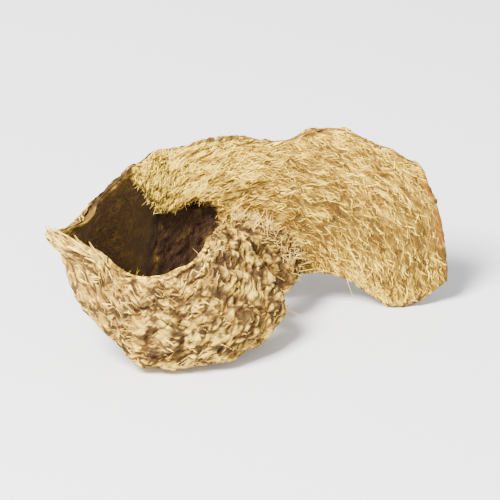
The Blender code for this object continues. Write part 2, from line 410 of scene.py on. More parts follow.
def ring_normals(points, closed):
    """The outward unit normal at each point of a grid of rings, from its neighbours."""
    down_strip = np.gradient(points, axis=0)
    if closed:
        round_ring = np.roll(points, -1, axis=1) - np.roll(points, 1, axis=1)
    else:
        round_ring = np.gradient(points, axis=1)
    return unit(np.cross(down_strip, round_ring))

# %% [markdown]
# ## Flesh
#
# The flesh is full of strings that run along the root. When it dries, the soft part between
# them shrinks, so the cut face turns into fine ridges and grooves. On the broad flap the
# strings bend round the place where the curl began, so there the grain follows circles about
# that place, and elsewhere it follows the strip. The ridges are real relief on the mesh, and
# the same numbers are kept as a colour attribute, so that grooves can be darker than crests,
# which paints some shade into them.

# %% Grain of the cut face
GRAIN_CENTRE = slice_low + np.array([0.535, 0.70, 0.02]) * (slice_high - slice_low)
GRAIN_BLEND = (0.37, 0.43)
GRAIN_TURN_LENGTH = 20.0 * MM
LINE_EDGES = (0.03, 0.26)


def mapped_noise(flat, stretch, size, seed):
    """Noise on a flat map, drawn out along its first direction."""
    return waves(np.stack([flat[..., 0] / stretch, flat[..., 1], 0 * flat[..., 0]], axis=-1), size, seed)


def wobble(points, size, seed):
    """Two independent noises per point, to bend a flat map with."""
    return np.stack([waves(points, size, seed), waves(points, size, seed + 1)], axis=-1)


def grain_of_flesh(points, turn):
    """Two lengths per point: along the strings and across them."""
    reach = points - GRAIN_CENTRE
    radius = np.hypot(reach[..., 0], reach[..., 2])
    angle = np.arctan2(reach[..., 0], reach[..., 2])
    round_centre = np.stack([angle * GRAIN_TURN_LENGTH, radius], axis=-1)
    across = -np.cos(turn)
    with_strip = np.stack([travelled[:, None] + 0 * turn, across * width[:, None] / 2], axis=-1)
    share = ramp(along, *GRAIN_BLEND)[:, None, None]
    return round_centre * (1 - share) + with_strip * share


def line_net(flat, angle, spacing, stretch, seed):
    """Narrow lines near one direction of a flat map, 1 on a line and 0 between the lines.

    They lie where noise, stretched along that direction, passes through zero.
    """
    lengthwise = flat[..., 0] * np.cos(angle) + flat[..., 1] * np.sin(angle)
    crosswise = flat[..., 1] * np.cos(angle) - flat[..., 0] * np.sin(angle)
    noise = mapped_noise(np.stack([lengthwise, crosswise], axis=-1), stretch, spacing, seed)
    return 1 - ramp(np.abs(noise), *LINE_EDGES)


# %% Points of the flesh
FLESH_CUT_POINTS = 142
FLESH_BARK_POINTS = 12
GRAIN_WOBBLE = 0.6 * MM
GRAIN_FINE_WOBBLE = 0.14 * MM

flesh_turn = section_turns(FLESH_CUT_POINTS, FLESH_BARK_POINTS, np.pi, 2 * np.pi)
flesh_points, flesh_hollow = base_surface(flesh_turn)
flesh_points += TO_FRAME
flesh_normals = ring_normals(flesh_points, closed=True)
flesh_across = -np.cos(flesh_turn)
flesh_grain = grain_of_flesh(flesh_points, flesh_turn)
flesh_grain += GRAIN_WOBBLE * wobble(flesh_points, 3.0 * MM, 21)
flesh_grain += GRAIN_FINE_WOBBLE * wobble(flesh_points, 1.1 * MM, 23)
print("the flesh has", flesh_turn.size, "points")

# %% [markdown]
# The relief of the cut face is a sum: soft and fine strings, less the grooves between them,
# where the soft part shrank most. Inside the hollow the flesh crumbled, so there the relief is
# a mottle of pits, but for the left wall, which stayed smooth. The flesh sinks a little under
# the bark, so that the bark skin can lie over it.

# %% Relief of the cut face
STRING_RELIEF = 0.22 * MM
LUMP_RELIEF = 0.14 * MM
PIT_RELIEF = 0.45 * MM
HOLLOW_STRING_RELIEF = 0.20 * MM
SMOOTH_WALL = (0.375, 0.395)
FLESH_BEDDING = 0.95 * MM

grooves = np.maximum(
    line_net(flesh_grain, np.radians(11), 0.95 * MM, 4.0, 30),
    0.85 * line_net(flesh_grain, np.radians(-16), 0.80 * MM, 3.4, 31),
)
broken = ramp(waves(flesh_points, 1.6 * MM, 32), -0.6, 0.2)
soft_strings = mapped_noise(flesh_grain, 5.0, 0.60 * MM, 33)
fine_strings = mapped_noise(flesh_grain, 4.5, 0.36 * MM, 34)
lumps = waves(flesh_points, 2.6 * MM, 35)
strings = 0.55 * soft_strings + 0.55 * fine_strings - 1.1 * grooves * broken
mottle = waves(flesh_points, 1.4 * MM, 36) + 0.5 * waves(flesh_points, 0.7 * MM, 37)
on_smooth_wall = ramp(along, *SMOOTH_WALL)[:, None]
face_height = STRING_RELIEF * strings + LUMP_RELIEF * lumps
hollow_height = (PIT_RELIEF * mottle + HOLLOW_STRING_RELIEF * strings) * (1 - 0.9 * on_smooth_wall)
on_cut = ramp(-np.sin(flesh_turn), 0.0, 0.25)
height = on_cut * (face_height * (1 - flesh_hollow) + hollow_height * flesh_hollow)
bedding = FLESH_BEDDING * ramp(np.sin(flesh_turn), 0.0, 0.5)
flesh_points += flesh_normals * (height - bedding)[..., None]
flesh_points[..., 2] = np.maximum(flesh_points[..., 2], slice_low[2])
print("string relief runs from", (height.min() / MM).round(2), "to", (height.max() / MM).round(2), "mm")

# %% [markdown]
# Colour follows relief: crests are pale and grooves dark, partly the flesh's own paler strings and
# partly painted shade in the grooves. The flesh darkens in a lens-shaped patch beside the join,
# and pales to the left of it. Three masks go to the material: shade, how deep in the hollow (a
# painted shade), and how near the burnt-looking edge of the flap.

# %% Colours of the flesh
LENS_MIDDLE = np.array([13.5, 0.0, 11.5]) * MM
LENS_SIZE = np.array([11.0, 1000.0, 4.6]) * MM
DARK_RIM_START = (0.43, 0.455)
DARK_RIM_END = (0.53, 0.57)
FLAP_EDGE_END = (0.34, 0.38)
FREE_EDGE = (0.6 * MM, 2.0 * MM)
WALL_FOLD = 0.377
WALL_FOLD_WIDTH = 0.005
BARE_RIM_START = (0.55, 0.60)

lens = np.exp(-(((flesh_points - LENS_MIDDLE) / LENS_SIZE) ** 2).sum(axis=-1))
lens += 0.25 * waves(flesh_points, 4 * MM, 38)
left_of_lens = ramp(-flesh_points[..., 0], -2 * MM, 9 * MM)
# painted shade and highlight: the relief's grooves are darkened and its crests lightened in colour, over
# the flesh's own paler strings
face_shade = 0.60 + 0.34 * strings + 0.10 * lumps - 0.16 * lens + 0.26 * left_of_lens
# painted shade: deep in the hollow, right of the smooth left wall, the tone is pushed darker and mottled
hollow_shade = 0.5 + 0.9 * mottle * (1 - 0.88 * on_smooth_wall) - 0.42 * (1 - on_smooth_wall)
flesh_shade = face_shade * (1 - flesh_hollow) + hollow_shade * flesh_hollow
dark_rim = ramp(along, *DARK_RIM_START) * (1 - ramp(along, *DARK_RIM_END))
rim_mask = dark_rim[:, None] * ramp(flesh_across, 0.80, 0.97)
flap_edge = ramp(np.abs(flesh_across), 0.945, 0.995) * (1 - ramp(along, *FLAP_EDGE_END))[:, None]
flap_edge = np.maximum(flap_edge, (1 - ramp(travelled, *FREE_EDGE))[:, None])
flap_edge *= ramp(waves(flesh_points, 2.2 * MM, 39), -0.8, 0.3)
# painted shade: this green mask tints the hollow nearly black, less on its smooth left wall; the thin rim
# above the hollow takes the same tint, and a fold of the wall takes less of it
painted_hollow_shade = flesh_hollow * (0.96 - 0.16 * on_smooth_wall - 0.12 * ramp(mottle, 0.1, 0.9))
painted_hollow_shade = np.maximum(painted_hollow_shade, 0.85 * rim_mask)
wall_fold = np.exp(-(((along - WALL_FOLD) / WALL_FOLD_WIDTH) ** 2))[:, None]
painted_hollow_shade *= 1 - 0.30 * wall_fold * (1 - ramp(flesh_across, -0.45, 0.0))
bare_rim = ramp(along, *BARE_RIM_START)[:, None] * ramp(np.abs(flesh_across), 0.80, 0.95)
flesh_shade += bare_rim * (0.25 + 0.5 * mottle)
flesh_colors = np.stack([np.clip(flesh_shade, 0, 1), painted_hollow_shade, flap_edge], axis=-1)
print("mean shade of the cut face", flesh_colors[..., 0].mean().round(2))

# %% [markdown]
# ## Bark
#
# Ginger has a thin papery bark. As the flesh shrinks, the bark has too much area for what it
# covers, so it folds into a net of sharp wrinkles with pits between them. Here it is a closed
# thin skin of its own: an outer face with the wrinkles, and an inner face bedded in the flesh.
# It wraps round the rim on the flap, and stops just short of the lower edge on the curl, where
# the knife left a pale rim of flesh.

# %% Bark skin
BARK_OUTER_POINTS = 144
BARK_INNER_POINTS = 10
RIM_WRAP = 0.22
THIN_RIM_GAP = 0.25
CURL_RIM_GAP = 0.30
WRAP_TO_GAP = (0.52, 0.60)
BARE_THIN_RIM = ((0.33, 0.38), (0.53, 0.57))
BARK_WOBBLE = 0.9 * MM
BARK_FINE_WOBBLE = 0.3 * MM

edge_line = np.stack([travelled, 0 * travelled, 0 * travelled], axis=-1)
ragged_low = 0.12 * waves(edge_line, 2.4 * MM, 41) + 0.07 * waves(edge_line, 0.7 * MM, 42)
ragged_high = 0.12 * waves(edge_line, 2.0 * MM, 43) + 0.07 * waves(edge_line, 0.6 * MM, 44)
gap_share = ramp(along, *WRAP_TO_GAP)
bark_start = -RIM_WRAP * (1 - gap_share) + CURL_RIM_GAP * gap_share + ragged_low
at_thin_rim = ramp(along, *BARE_THIN_RIM[0]) * (1 - ramp(along, *BARE_THIN_RIM[1]))
wrap_high = RIM_WRAP * (1 - gap_share) * (1 - at_thin_rim) - THIN_RIM_GAP * at_thin_rim
bark_end = np.pi + wrap_high - 0.5 * CURL_RIM_GAP * gap_share + ragged_high
outer_share = np.linspace(0, 1, BARK_OUTER_POINTS)
outer_turn = bark_start[:, None] + (bark_end - bark_start)[:, None] * outer_share
outer_points, _ = base_surface(outer_turn)
outer_points += TO_FRAME
outer_normals = ring_normals(outer_points, closed=False)

arc_steps = np.linalg.norm(np.diff(outer_points, axis=1), axis=-1)
arc = np.concatenate([np.zeros((STATIONS, 1)), np.cumsum(arc_steps, axis=1)], axis=1)
bark_flat = np.stack([travelled[:, None] + 0 * arc, arc - arc[:, -1:] / 2], axis=-1)
bark_map = bark_flat + BARK_WOBBLE * wobble(outer_points, 2.6 * MM, 51)
bark_map += BARK_FINE_WOBBLE * wobble(outer_points, 0.9 * MM, 53)
print("the bark is up to", (arc.max() / MM).round(1), "mm wide")

# %% [markdown]
# Three families of wrinkles cross each other, each in patches of its own: two run slantwise and
# one along the strip. Coarse folds are deep, fine ones shallow. Small pits lie between them,
# and low bumps carry the rest. Over the left end of the curl the bark is calmer.

# %% Wrinkles of the bark
CREASE_ANGLES = np.radians([38.0, -42.0, 4.0])
BUMP_HEIGHT = 0.26
FOLD_DEPTH = 0.42
FINE_FOLD_DEPTH = 0.20
PIT_DEPTH = 0.40
GRIT_HEIGHT = 0.05
LOWEST_BARK = -0.75 * MM
CALM_END = ((0.52, 0.58), (0.62, 0.70))

folds = np.zeros(arc.shape)
fine_folds = np.zeros(arc.shape)
for seed, angle in enumerate(CREASE_ANGLES, start=60):
    patch = ramp(waves(outer_points, 3.2 * MM, seed), -0.45, 0.15)
    folds = np.maximum(folds, patch * line_net(bark_map, angle, 1.9 * MM, 2.6, seed + 10))
    fine_patch = ramp(waves(outer_points, 1.9 * MM, seed + 5), -0.35, 0.25)
    fine_folds = np.maximum(fine_folds, fine_patch * line_net(bark_map, angle, 1.0 * MM, 2.4, seed + 20))
bark_pits = ramp(waves(outer_points, 1.5 * MM, 56), 0.42, 0.75)
bark_bumps = waves(outer_points, 1.9 * MM, 57) + 0.6 * waves(outer_points, 0.85 * MM, 58)
bark_grit = waves(outer_points, 0.45 * MM, 59)
calm = 1 - 0.45 * (ramp(along, *CALM_END[0]) * (1 - ramp(along, *CALM_END[1])))[:, None]
wrinkles = BUMP_HEIGHT * bark_bumps - FOLD_DEPTH * folds - FINE_FOLD_DEPTH * fine_folds
wrinkles += GRIT_HEIGHT * bark_grit - PIT_DEPTH * bark_pits
bark_height = np.maximum(calm * MM * wrinkles, LOWEST_BARK)
print("wrinkles run from", (bark_height.min() / MM).round(2), "to", (bark_height.max() / MM).round(2), "mm")

# %% Points of the bark
BARK_DEPTH = 0.75 * MM
BARK_LIFT = 0.10 * MM
RIM_HEIGHT_SHARE = 0.35
RIM_FADE = (0.0, 0.06)

to_rim = np.minimum(outer_share, 1 - outer_share) * 2
rim_fade = ramp(to_rim, *RIM_FADE)
outer_lift = bark_height * (RIM_HEIGHT_SHARE + (1 - RIM_HEIGHT_SHARE) * rim_fade) + BARK_LIFT
outer_skin = outer_points + outer_normals * outer_lift[..., None]
inner_index = np.round(np.linspace(BARK_OUTER_POINTS - 1, 0, BARK_INNER_POINTS + 2)[1:-1]).astype(int)
inner_skin = outer_points[:, inner_index] - outer_normals[:, inner_index] * BARK_DEPTH
bark_points = np.concatenate([outer_skin, inner_skin], axis=1)
bark_points[..., 2] = np.maximum(bark_points[..., 2], slice_low[2])
outer_skin = bark_points[:, :BARK_OUTER_POINTS]
print("the bark has", bark_points[..., 0].size, "points")

# %% [markdown]
# The bark is palest on its bumps and nearly black in its pits: its own tone, with painted
# highlight on the bumps and painted shade in the pits and folds. The wall that closes the curl
# and the crease beside the lobe are darker with painted shade, and the thin rim is darker too.
# Along its lower edge the curl has been rubbed pale.

# %% Colours of the bark
CLOSING_WALL = ((0.85, 0.90), (0.95, 0.985))
CREASE_SHADE_WIDTH = 0.014
WORN_RIM = ((0.56, 0.62), (0.84, 0.88))
WORN_SHADE = 0.85

# painted highlight on the bumps and painted shade in the folds and pits, over the bark's own tone
bark_shade = 0.94 + 0.14 * bark_bumps - 0.42 * folds - 0.24 * fine_folds - 0.6 * bark_pits
bark_shade = 0.66 + (bark_shade - 0.66 + 0.22 * bark_grit) * calm
bark_age = 0.5 + 0.5 * waves(outer_points, 5 * MM, 58)
# painted shade: the wall that closes the curl is darkened where it faces right, away from the key light
closing_wall_shade = (ramp(along, *CLOSING_WALL[0]) * (1 - ramp(along, *CLOSING_WALL[1])))[:, None]
on_thin_rim = at_thin_rim[:, None] * ramp(outer_share, 0.80, 0.95)
# painted shade: the crease between the lobe and the wall that closes the curl is darkened
crease_shade = np.exp(-(((along - CREASE) / CREASE_SHADE_WIDTH) ** 2))[:, None]
crease_shade = crease_shade * (1 - ramp(outer_share, 0.35, 0.75))
bark_shade -= 0.18 * closing_wall_shade + 0.45 * on_thin_rim + 0.45 * crease_shade
worn_rim = (ramp(along, *WORN_RIM[0]) * (1 - ramp(along, *WORN_RIM[1])))[:, None]
worn_rim = worn_rim * (1 - ramp(outer_share, 0.02, 0.09))
bark_shade += worn_rim * (WORN_SHADE - bark_shade)
outer_colors = np.stack([np.clip(bark_shade, 0, 1), bark_age, 0 * bark_age], axis=-1)
bark_colors = np.concatenate([outer_colors, outer_colors[:, inner_index]], axis=1)
bark_grain = np.concatenate([bark_flat, bark_flat[:, inner_index]], axis=1)
print("mean shade of the bark", outer_colors[..., 0].mean().round(2))

# %% [markdown]
# ## Strings, threads and rootlets
#
# A torn root is never clean: strings stick out of the torn tip, threads of bark creep over the
# wrinkles, and thin rootlets hang on. All of them are one shape, a closed tapering blade
# carried along a short path. What differs is how many there are, how wide and how flat. Some
# paths are free curves, and others are traced on the surface step by step.

# %% Blades
def blades(paths, sides, ups, around):
    """Closed tapering tubes: at each path point an ellipse of the side and up half axes."""
    angle = np.linspace(0, 2 * np.pi, around, endpoint=False)
    points = (
        paths[:, :, None]
        + sides[:, :, None] * np.cos(angle)[:, None]
        + ups[:, :, None] * np.sin(angle)[:, None]
    )
    count, steps = points.shape[:2]
    blade, ring, k = np.meshgrid(np.arange(count), np.arange(steps - 1), np.arange(around), indexing="ij")
    start = blade * steps * around + ring * around
    a, b = start + k, start + (k + 1) % around
    quads = np.stack([a, a + around, b + around, b], axis=-1).reshape(-1, 4)
    fan = np.stack([np.zeros(around - 2, int), np.arange(1, around - 1), np.arange(2, around)], axis=-1)
    first = np.arange(count)[:, None, None] * steps * around
    last = first + (steps - 1) * around
    triangles = np.concatenate([(first + fan).reshape(-1, 3), (last + fan[:, ::-1]).reshape(-1, 3)])
    return points, quads, triangles


def curved_paths(start, way, bend, lengths, steps):
    """Paths from a start point: straight along the way, bending off with the square of the length."""
    run = np.linspace(0, 1, steps)[None, :, None]
    return start[:, None] + (way[:, None] * run + bend[:, None] * run**2) * lengths[:, None, None]


def traced_paths(surface, normals, rows, columns, steer, lengths, steps):
    """Paths that start at grid places and creep over the surface the way that steer points.

    steer(points, normals, run) gives the way in space at each path's present place. Each step
    is that way written in the two grid directions there, so no path leaves the surface.
    """
    by_row = np.gradient(surface, axis=0)
    by_column = np.gradient(surface, axis=1)
    last_row, last_column = surface.shape[0] - 1, surface.shape[1] - 1
    row, column = rows.astype(float), columns.astype(float)
    paths, ups = [], []
    for run in np.linspace(0, 1, steps):
        i, j = np.round(row).astype(int), np.round(column).astype(int)
        a, b = by_row[i, j], by_column[i, j]
        offset = (row - i)[:, None] * a + (column - j)[:, None] * b
        paths.append(surface[i, j] + offset)
        ups.append(normals[i, j])
        way = steer(surface[i, j], normals[i, j], run)
        aa, ab, bb = (a * a).sum(axis=1), (a * b).sum(axis=1), (b * b).sum(axis=1)
        wa, wb = (way * a).sum(axis=1), (way * b).sum(axis=1)
        reach = lengths / (steps - 1) / np.maximum(aa * bb - ab * ab, 1e-18)
        row = np.clip(row + (wa * bb - wb * ab) * reach, 0, last_row)
        column = np.clip(column + (wb * aa - wa * ab) * reach, 0, last_column)
    return np.stack(paths, axis=1), np.stack(ups, axis=1)


LOOSE_ROOM = 0.6 * MM
ROOT_SHARE = 0.35
TIP_WIDTH = 0.06


def blade_swarm(name, finish, paths, ups, half_widths, flatness, around, shades):
    """A mesh piece of many blades along paths, each with its flat side facing up.

    A blade that would reach further than LOOSE_ROOM past the slice, or below it, is left out.
    """
    low, high = slice_low - LOOSE_ROOM, slice_high + LOOSE_ROOM
    low[2] = slice_low[2] + half_widths.max()
    fits = ((paths > low) & (paths < high)).all(axis=(1, 2))
    ups = np.broadcast_to(ups, paths.shape)[fits]
    paths, half_widths, shades = paths[fits], half_widths[fits], shades[fits]
    going = unit(np.gradient(paths, axis=1))
    side = unit(np.cross(going, ups))
    up = np.cross(side, going)
    run = np.linspace(0, 1, paths.shape[1])
    opening = np.sqrt(np.clip(run / ROOT_SHARE, 0, 1))
    taper = (TIP_WIDTH + (1 - TIP_WIDTH) * opening * np.sqrt(1 - run**2))[None, :, None]
    size = half_widths[:, None, None] * taper
    points, quads, triangles = blades(paths, side * size, up * size * flatness, around)
    shade = np.broadcast_to(shades[:, None, None], points.shape[:3])
    length_share = np.broadcast_to(run[None, :, None], points.shape[:3])
    colors = np.stack([shade, length_share, 0 * shade], axis=-1)
    reach = np.linalg.norm(paths[:, -1] - paths[:, 0], axis=1)[:, None, None]
    grain = np.stack([length_share * reach, shade * MM], axis=-1)
    return mesh_piece(name, points, quads, triangles, MATERIALS[finish], colors, grain)


# %% [markdown]
# ## Materials
#
# All the finishes are dry and matt, and all are made of the same things: a ramp from groove
# colour to crest colour read from the relief, and fine specks too small for the mesh. The flesh
# and the bark have thin broken lines too. Specks and lines are two node groups, placed in each
# material with their own sizes. They read the piece's own `grain` map, so both follow the grain.

# %% Node helpers
def tint(red, green, blue):
    """A colour given as 0 to 255 screen values, as the linear numbers that a shader wants."""
    screen = np.array([red, green, blue]) / 255
    linear = np.where(screen <= 0.04045, screen / 12.92, ((screen + 0.055) / 1.055) ** 2.4)
    return tuple(float(value) for value in linear)


def plug(tree, socket, value):
    """Links a socket to another, or gives it a plain value or a colour."""
    if isinstance(value, bpy.types.NodeSocket):
        tree.links.new(value, socket)
    elif isinstance(value, tuple):
        socket.default_value = (*value, 1.0)
    else:
        socket.default_value = value


def add_node(tree, kind, options=None, **values):
    """A node with its options set, and each named socket plugged."""
    node = tree.nodes.new(kind)
    for key, value in (options or {}).items():
        setattr(node, key, value)
    for key, value in values.items():
        plug(tree, node.inputs[key.replace("_", " ")], value)
    return node


def color_ramp(tree, factor, stops):
    """A ramp through (position, colour) stops."""
    node = add_node(tree, "ShaderNodeValToRGB", Fac=factor)
    band = node.color_ramp
    for position, color in stops[2:]:
        band.elements.new(position)
    for element, (position, color) in zip(band.elements, stops):
        element.position = position
        element.color = (*color, 1.0)
    return node.outputs["Color"]


def mix_colors(tree, factor, first, second, blend="MIX"):
    """Two colours mixed by a factor."""
    node = add_node(tree, "ShaderNodeMix", {"data_type": "RGBA", "blend_type": blend})
    for index, value in ((0, factor), (6, first), (7, second)):
        plug(tree, node.inputs[index], value)
    return node.outputs[2]


def math_node(tree, operation, first, second):
    """One arithmetic step on two values."""
    node = add_node(tree, "ShaderNodeMath", {"operation": operation})
    plug(tree, node.inputs[0], first)
    plug(tree, node.inputs[1], second)
    return node.outputs[0]


def make_group(name, inputs, outputs):
    """An empty node group on a map, with number inputs and number outputs."""
    group = bpy.data.node_groups.new(name, "ShaderNodeTree")
    sockets = group.interface
    sockets.new_socket("Map", in_out="INPUT", socket_type="NodeSocketVector")
    for side, labels in (("INPUT", inputs), ("OUTPUT", outputs)):
        for label in labels:
            sockets.new_socket(label, in_out=side, socket_type="NodeSocketFloat")
    return group, add_node(group, "NodeGroupInput").outputs


# %% The speck group
def make_speck_group():
    """Specks stretched along the first direction of a map.

    Inputs: the map, how many specks fit in a metre across, how far they stretch, and how strong
    they are. Outputs: a shade about 1 to multiply a colour by, and a height for a bump.
    """
    inputs = ("Per Metre", "Stretch", "Strength")
    group, given = make_group("dry_specks", inputs, ("Shade", "Height"))
    parts = add_node(group, "ShaderNodeSeparateXYZ", Vector=given["Map"]).outputs
    squeezed = math_node(group, "DIVIDE", parts["X"], given["Stretch"])
    joined = add_node(group, "ShaderNodeCombineXYZ", X=squeezed, Y=parts["Y"], Z=parts["Z"])
    noise = add_node(
        group, "ShaderNodeTexNoise", Vector=joined.outputs[0], Scale=given["Per Metre"], Detail=3.0,
        Roughness=0.6,
    )
    centred = math_node(group, "SUBTRACT", noise.outputs["Fac"], 0.5)
    strong = math_node(group, "MULTIPLY", centred, given["Strength"])
    doubled = math_node(group, "MULTIPLY", strong, 3.0)
    shade = math_node(group, "ADD", doubled, 1.0)
    add_node(group, "NodeGroupOutput", Shade=shade, Height=noise.outputs["Fac"])
    return group


SPECKS = make_speck_group()

# %% The line group
def make_line_group():
    """Thin broken lines near one direction of a map, for cracks and strings finer than the mesh.

    Inputs: the map, the turn of the lines, how many fit in a metre across, and how far they
    stretch. Output: 1 on a line and 0 between. A line runs where stretched noise passes through
    its middle value, and coarser noise breaks it into dashes.
    """
    group, given = make_group("broken_lines", ("Turn", "Per Metre", "Stretch"), ("Lines",))
    turned = add_node(
        group, "ShaderNodeVectorRotate", {"rotation_type": "Z_AXIS"}, Vector=given["Map"],
        Angle=given["Turn"],
    )
    parts = add_node(group, "ShaderNodeSeparateXYZ", Vector=turned.outputs[0]).outputs
    squeezed = math_node(group, "DIVIDE", parts["X"], given["Stretch"])
    joined = add_node(group, "ShaderNodeCombineXYZ", X=squeezed, Y=parts["Y"], Z=given["Turn"])
    noise = add_node(
        group, "ShaderNodeTexNoise", Vector=joined.outputs[0], Scale=given["Per Metre"], Detail=1.0,
        Roughness=0.5,
    )
    off_middle = math_node(group, "ABSOLUTE", math_node(group, "SUBTRACT", noise.outputs["Fac"], 0.5), 0.0)
    line = add_node(
        group, "ShaderNodeMapRange", {"interpolation_type": "SMOOTHSTEP"}, Value=off_middle,
        From_Min=0.03, From_Max=0.13, To_Min=1.0, To_Max=0.0,
    )
    coarse = math_node(group, "MULTIPLY", given["Per Metre"], 0.55)
    patches = add_node(group, "ShaderNodeTexNoise", Vector=turned.outputs[0], Scale=coarse, Detail=1.0)
    shown = add_node(
        group, "ShaderNodeMapRange", {"interpolation_type": "SMOOTHSTEP"}, Value=patches.outputs["Fac"],
        From_Min=0.42, From_Max=0.56,
    )
    lines = math_node(group, "MULTIPLY", line.outputs["Result"], shown.outputs["Result"])
    add_node(group, "NodeGroupOutput", Lines=lines)
    return group


LINES = make_line_group()
print("two node groups:", SPECKS.name, "and", LINES.name)

# %% The material recipe
def dry_material(name, stops, specks, bump_depth, roughness, tints_and_shade=(), lines=(), line_tint=None):
    """A matt material: a ramp on the relief, tints and painted shade by mask, fine lines, specks and a
    bump.

    The piece's `surface` attribute gives relief in red and two masks in green and blue. aging
    lists (mask channel, colour, strength): tints, and on the flesh the painted shade of the hollow.
    lines lists (turn, per metre, stretch, strength).
    """
    material = bpy.data.materials.new(name)
    material.use_nodes = True
    tree = material.node_tree
    shader = tree.nodes["Principled BSDF"]
    surface = add_node(tree, "ShaderNodeAttribute", {"attribute_name": "surface"})
    channels = add_node(tree, "ShaderNodeSeparateColor", Color=surface.outputs["Color"])
    grain = add_node(tree, "ShaderNodeUVMap", {"uv_map": "grain"})
    color = color_ramp(tree, channels.outputs["Red"], stops)
    per_metre, stretch, strength = specks
    speck = add_node(
        tree, "ShaderNodeGroup", {"node_tree": SPECKS}, Map=grain.outputs["UV"], Per_Metre=per_metre,
        Stretch=stretch, Strength=strength,
    )
    height = speck.outputs["Height"]
    for turn, per_metre, stretch, strength in lines:
        line = add_node(
            tree, "ShaderNodeGroup", {"node_tree": LINES}, Map=grain.outputs["UV"], Turn=turn,
            Per_Metre=per_metre, Stretch=stretch,
        )
        share = math_node(tree, "MULTIPLY", line.outputs["Lines"], strength)
        color = mix_colors(tree, share, color, line_tint)
        height = math_node(tree, "SUBTRACT", height, share)
    for channel, other, strength in tints_and_shade:
        share = math_node(tree, "MULTIPLY", channels.outputs[channel], strength)
        color = mix_colors(tree, share, color, other)
    shade = add_node(
        tree, "ShaderNodeCombineColor", Red=speck.outputs["Shade"], Green=speck.outputs["Shade"],
        Blue=speck.outputs["Shade"],
    )
    color = mix_colors(tree, 1.0, color, shade.outputs["Color"], "MULTIPLY")
    tree.links.new(color, shader.inputs["Base Color"])
    bump = add_node(tree, "ShaderNodeBump", Height=height, Distance=bump_depth, Strength=1.0)
    tree.links.new(bump.outputs["Normal"], shader.inputs["Normal"])
    shader.inputs["Roughness"].default_value = roughness
    shader.inputs["Specular IOR Level"].default_value = 0.25
    return material


# %% The finishes
# the low stops of the flesh and bark ramps give painted shade in grooves, folds and pits, and the high
# stops give painted highlight on crests and bumps, over their own tones
FLESH_RAMP = (
    (0.00, tint(44, 28, 4)), (0.32, tint(86, 64, 12)),
    (0.62, tint(156, 122, 32)), (0.95, tint(246, 208, 72)),
)
BARK_RAMP = (
    (0.00, tint(44, 26, 6)), (0.30, tint(110, 76, 26)),
    (0.60, tint(178, 140, 50)), (0.95, tint(250, 210, 90)),
)
TORN_RAMP = ((0.0, tint(120, 84, 24)), (0.4, tint(220, 180, 76)), (1.0, tint(255, 232, 124)))
FIBRE_RAMP = ((0.0, tint(176, 136, 56)), (1.0, tint(240, 206, 112)))
STRING_RAMP = ((0.0, tint(92, 64, 10)), (0.45, tint(178, 138, 32)), (1.0, tint(255, 218, 78)))
THREAD_RAMP = ((0.0, tint(70, 44, 12)), (0.45, tint(178, 138, 54)), (1.0, tint(252, 214, 104)))
ROOTLET_RAMP = ((0.0, tint(140, 100, 36)), (1.0, tint(226, 192, 104)))
# painted shade: the near-black colour of the inside of the hollow
HOLLOW_SHADE_TINT = tint(46, 25, 5)
EDGE_TINT = tint(136, 82, 16)
AGE_TINT = tint(140, 104, 54)
FLESH_LINES = ((0.30, 1000.0, 3.0, 0.85), (-0.34, 1150.0, 2.8, 0.80), (0.02, 1900.0, 4.0, 0.50))
BARK_LINES = ((0.62, 760.0, 2.2, 0.95), (-0.70, 680.0, 2.0, 0.95), (0.05, 1300.0, 3.0, 0.45))

MATERIALS = {
    "flesh": dry_material(
        "dried_flesh", FLESH_RAMP, (4200.0, 5.0, 0.40), 0.12 * MM, 0.85,
        (("Green", HOLLOW_SHADE_TINT, 1.0), ("Blue", EDGE_TINT, 0.70)), FLESH_LINES, tint(90, 62, 12),
    ),
    "bark": dry_material(
        "bark_skin", BARK_RAMP, (3000.0, 1.6, 0.40), 0.14 * MM, 0.9, (("Green", AGE_TINT, 0.20),),
        BARK_LINES, tint(44, 25, 6),
    ),
    "torn": dry_material("torn_string", TORN_RAMP, (5200.0, 8.0, 0.35), 0.05 * MM, 0.85),
    "fibre": dry_material("fine_fibre", FIBRE_RAMP, (5200.0, 8.0, 0.25), 0.05 * MM, 0.85),
    "string": dry_material("face_string", STRING_RAMP, (5200.0, 8.0, 0.25), 0.04 * MM, 0.85),
    "thread": dry_material("bark_thread", THREAD_RAMP, (3600.0, 2.0, 0.3), 0.05 * MM, 0.9),
    "rootlet": dry_material("rootlet", ROOTLET_RAMP, (5200.0, 6.0, 0.2), 0.03 * MM, 0.85),
}
print(len(MATERIALS), "finishes")

# %% [markdown]
# ## The pieces
#
# The flesh and the bark become meshes first. The loose pieces are then rooted on their
# surfaces, picked with a seeded generator, so that every run grows the same ones.

# %% Flesh and bark pieces
flesh_faces = ring_faces(STATIONS, FLESH_CUT_POINTS, FLESH_BARK_POINTS)
flesh = mesh_piece(
    "flesh", flesh_points, *flesh_faces, MATERIALS["flesh"], flesh_colors, flesh_grain
)
bark_faces = ring_faces(STATIONS, BARK_OUTER_POINTS, BARK_INNER_POINTS)
bark = mesh_piece("bark", bark_points, *bark_faces, MATERIALS["bark"], bark_colors, bark_grain)

# %% Picking places on a surface
rng = np.random.default_rng(20)


def pick(mask, count):
    """The rows and columns of count places where the mask is true."""
    rows, columns = np.nonzero(mask)
    chosen = rng.integers(0, len(rows), count)
    return rows[chosen], columns[chosen]


def spread(count, low, high):
    """Evenly random numbers from low to high."""
    return rng.uniform(low, high, count)


def scatter(count, amount):
    """Small random ways, to make each blade differ."""
    return rng.normal(0, amount, (count, 3))


station_of = along[:, None] + 0 * outer_turn
share_of = outer_share[None, :] + 0 * outer_turn

# %% [markdown]
# Each swarm is made alike: pick places, give each blade a way and a length, set its root a
# little under the surface, and let it bend.

